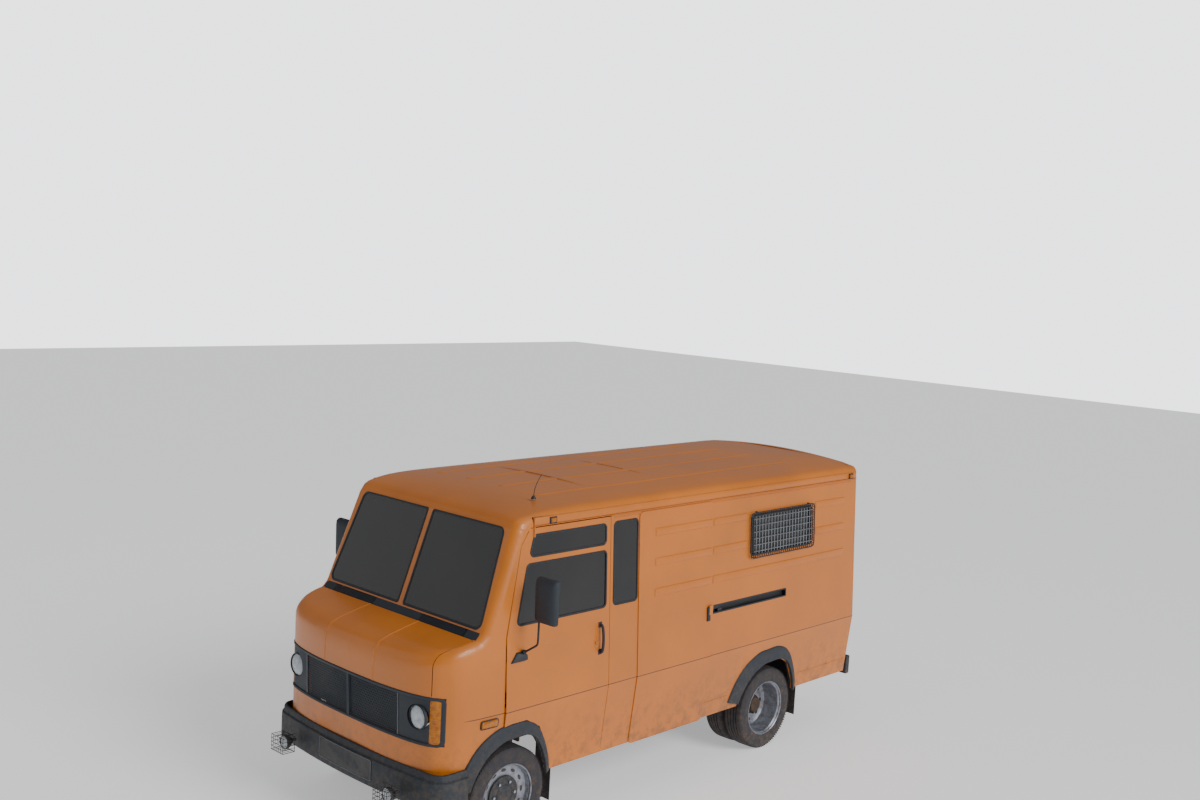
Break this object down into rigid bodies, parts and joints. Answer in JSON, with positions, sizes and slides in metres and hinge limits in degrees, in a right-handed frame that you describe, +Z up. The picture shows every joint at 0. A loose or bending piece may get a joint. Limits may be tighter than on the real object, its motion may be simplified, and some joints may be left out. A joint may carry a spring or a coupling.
{
  "type": "mail delivery truck",
  "caption": "Forward-control panel delivery van with cab doors, one sliding side door, twin rear doors, steered front wheels and twin rear wheels.",
  "frame": {"origin": "on the ground under the middle of the overall length and width", "axes": "front faces -Y, the vehicle left side is +X, +Z is up"},
  "size_m": [2.67, 5.48, 2.7014],
  "materials": {
    "orange_paint": "semi-gloss enamel, slightly weathered",
    "dark_plastic": "grained dark blue-grey plastic",
    "black_steel": "satin black paint",
    "tinted_glass": "dark tinted",
    "lamp_glass": "ribbed clear glass",
    "amber_lens": "ribbed amber",
    "red_lens": "ribbed red and amber",
    "tyre_rubber": "worn black rubber",
    "flap_rubber": "matt",
    "silver_rim": "silver wheel paint",
    "chassis_paint": "dull black chassis paint",
    "cast_metal": "bare castings",
    "spring_steel": "dull",
    "cab_plastic": "grained",
    "seat_vinyl": "stitched vinyl",
    "bright_wire": "painted wire"
  },
  "bodies": {
    "body_and_chassis": {"aerial": "black_steel", "arch_flares": "dark_plastic", "axles": "cast_metal", "body_floor": "black_steel", "body_lamps": "red_lens", "cab_front_shell": "orange_paint", "chassis_frame": "chassis_paint", "cowl_vent": "dark_plastic", "dashboard": "cab_plastic", "engine_and_gearbox": "cast_metal", "exhaust": "spring_steel", "front_bumper": "dark_plastic", "front_lamps": "lamp_glass", "fuel_tank": "chassis_paint", "grille_panel": "dark_plastic", "indicator_lamps": "amber_lens", "leaf_springs": "spring_steel", "left_side_panel": "orange_paint", "right_side_panel": "orange_paint", "mud_flaps": "flap_rubber", "rear_bumper": "dark_plastic", "rear_frame": "orange_paint", "roof_panel": "orange_paint", "seat_frames": "black_steel", "seat_pads": "seat_vinyl", "side_windows": "tinted_glass", "sliding_door_rail": "dark_plastic", "window_guards": "bright_wire", "windscreen_panes": "tinted_glass"},
    "hood": {"hood": "orange_paint"},
    "gear_lever": {"gear_lever": "black_steel"},
    "steering_wheel": {"steering_wheel": "cab_plastic"},
    "left_knuckle": {"left_knuckle": "cast_metal"},
    "front_left_wheel": {"front_left_wheel": "silver_rim", "front_left_tyre": "tyre_rubber"},
    "rear_left_wheels": {"rear_left_wheels": "silver_rim", "rear_left_tyres": "tyre_rubber"},
    "left_cab_door": {"left_cab_door": "orange_paint", "left_top_light": "tinted_glass"},
    "left_drop_glass": {"left_drop_glass": "tinted_glass"},
    "left_door_button": {"left_door_button": "black_steel"},
    "left_mirror_arm": {"left_mirror_arm": "black_steel"},
    "left_mirror_head": {"left_mirror_head": "dark_plastic"},
    "right_knuckle": {"right_knuckle": "cast_metal"},
    "front_right_wheel": {"front_right_wheel": "silver_rim", "front_right_tyre": "tyre_rubber"},
    "rear_right_wheels": {"rear_right_wheels": "silver_rim", "rear_right_tyres": "tyre_rubber"},
    "right_cab_door": {"right_cab_door": "orange_paint", "right_top_light": "tinted_glass"},
    "right_drop_glass": {"right_drop_glass": "tinted_glass"},
    "right_door_button": {"right_door_button": "black_steel"},
    "right_mirror_arm": {"right_mirror_arm": "black_steel"},
    "right_mirror_head": {"right_mirror_head": "dark_plastic"},
    "sliding_door_carriage": {"sliding_door_carriage": "black_steel"},
    "sliding_door_arm": {"sliding_door_arm": "black_steel"},
    "sliding_door": {"sliding_door": "orange_paint"},
    "rear_left_door": {"rear_left_door": "orange_paint"},
    "rear_right_door": {"rear_right_door": "orange_paint"},
    "rear_door_handle": {"rear_door_handle": "black_steel"}
  },
  "joints": [
    {"name": "left_steer", "type": "hinge", "parent": "body_and_chassis", "child": "left_knuckle", "pos_m": [0.735, -1.81, 0.372], "axis": [0, 0, 1], "range_deg": [-28, 28]},
    {"name": "front_left_spin", "type": "hinge", "parent": "left_knuckle", "child": "front_left_wheel", "pos_m": [0.8825, -1.81, 0.372], "axis": [1, 0, 0], "continuous": true},
    {"name": "rear_left_spin", "type": "hinge", "parent": "body_and_chassis", "child": "rear_left_wheels", "pos_m": [0.77, 1.34, 0.372], "axis": [1, 0, 0], "continuous": true},
    {"name": "left_door_hinge", "type": "hinge", "parent": "body_and_chassis", "child": "left_cab_door", "pos_m": [1, -1.875, 1.2], "axis": [0, 0, -1], "range_deg": [0, 65]},
    {"name": "left_window_drop", "type": "slide", "parent": "left_cab_door", "child": "left_drop_glass", "axis": [0.0528, 0, -0.9986], "range_m": [0, 0.23]},
    {"name": "left_button_press", "type": "slide", "parent": "left_cab_door", "child": "left_door_button", "axis": [-1, 0, 0], "range_m": [0, 0.007], "stiffness_N_per_m": 400},
    {"name": "left_mirror_fold", "type": "hinge", "parent": "left_cab_door", "child": "left_mirror_arm", "pos_m": [1.03517, -1.77, 1.44], "axis": [0, 0, 1], "range_deg": [0, 60]},
    {"name": "left_mirror_turn", "type": "hinge", "parent": "left_mirror_arm", "child": "left_mirror_head", "pos_m": [1.164, -1.76, 1.9], "axis": [0, 0, 1], "range_deg": [-20, 20]},
    {"name": "right_steer", "type": "hinge", "parent": "body_and_chassis", "child": "right_knuckle", "pos_m": [-0.735, -1.81, 0.372], "axis": [0, 0, 1], "range_deg": [-28, 28]},
    {"name": "front_right_spin", "type": "hinge", "parent": "right_knuckle", "child": "front_right_wheel", "pos_m": [-0.8825, -1.81, 0.372], "axis": [1, 0, 0], "continuous": true},
    {"name": "rear_right_spin", "type": "hinge", "parent": "body_and_chassis", "child": "rear_right_wheels", "pos_m": [-0.77, 1.34, 0.372], "axis": [1, 0, 0], "continuous": true},
    {"name": "right_door_hinge", "type": "hinge", "parent": "body_and_chassis", "child": "right_cab_door", "pos_m": [-1, -1.875, 1.2], "axis": [0, 0, 1], "range_deg": [0, 65]},
    {"name": "right_window_drop", "type": "slide", "parent": "right_cab_door", "child": "right_drop_glass", "axis": [-0.0528, 0, -0.9986], "range_m": [0, 0.23]},
    {"name": "right_button_press", "type": "slide", "parent": "right_cab_door", "child": "right_door_button", "axis": [1, 0, 0], "range_m": [0, 0.007], "stiffness_N_per_m": 400},
    {"name": "right_mirror_fold", "type": "hinge", "parent": "right_cab_door", "child": "right_mirror_arm", "pos_m": [-1.03517, -1.77, 1.44], "axis": [0, 0, -1], "range_deg": [0, 60]},
    {"name": "right_mirror_turn", "type": "hinge", "parent": "right_mirror_arm", "child": "right_mirror_head", "pos_m": [-1.164, -1.76, 1.9], "axis": [0, 0, -1], "range_deg": [-20, 20]},
    {"name": "steering_wheel_turn", "type": "hinge", "parent": "body_and_chassis", "child": "steering_wheel", "pos_m": [0.43, -1.51, 1.385], "axis": [0, 0.6222, 0.7828], "range_deg": [-504, 504]},
    {"name": "hood_hinge", "type": "hinge", "parent": "body_and_chassis", "child": "hood", "pos_m": [0, -2.17, 1.574], "axis": [-1, 0, 0], "range_deg": [0, 40]},
    {"name": "gear_lever_rock", "type": "hinge", "parent": "body_and_chassis", "child": "gear_lever", "pos_m": [0.06, -1.25, 0.69], "axis": [1, 0, 0], "range_deg": [-12, 12]},
    {"name": "sliding_door_travel", "type": "slide", "parent": "body_and_chassis", "child": "sliding_door_carriage", "axis": [0, 1, 0], "range_m": [0, 0.88]},
    {"name": "sliding_door_swing", "type": "hinge", "parent": "sliding_door_carriage", "child": "sliding_door_arm", "pos_m": [0.99923, 0.53, 1.45], "axis": [0, 0, 1], "range_deg": [0, 30]},
    {"name": "sliding_door_follow", "type": "hinge", "parent": "sliding_door_arm", "child": "sliding_door", "pos_m": [0.99923, 0.35, 1.45], "axis": [0, 0, -1], "range_deg": [0, 30]},
    {"name": "rear_left_door_hinge", "type": "hinge", "parent": "body_and_chassis", "child": "rear_left_door", "pos_m": [0.925, 2.594, 1.5], "axis": [0, 0, -1], "range_deg": [0, 180]},
    {"name": "rear_right_door_hinge", "type": "hinge", "parent": "body_and_chassis", "child": "rear_right_door", "pos_m": [-0.925, 2.594, 1.5], "axis": [0, 0, 1], "range_deg": [0, 180]},
    {"name": "rear_handle_turn", "type": "hinge", "parent": "rear_right_door", "child": "rear_door_handle", "pos_m": [-0.07, 2.58, 1.18], "axis": [0, 1, 0], "range_deg": [0, 90]}
  ],
  "couplings": [
    {"joint": "right_steer", "follows": "left_steer", "ratio": 1},
    {"joint": "steering_wheel_turn", "follows": "left_steer", "ratio": 18},
    {"joint": "sliding_door_swing", "follows": "sliding_door_travel", "rad_per_m": 0.59499},
    {"joint": "sliding_door_follow", "follows": "sliding_door_travel", "rad_per_m": 0.59499}
  ]
}
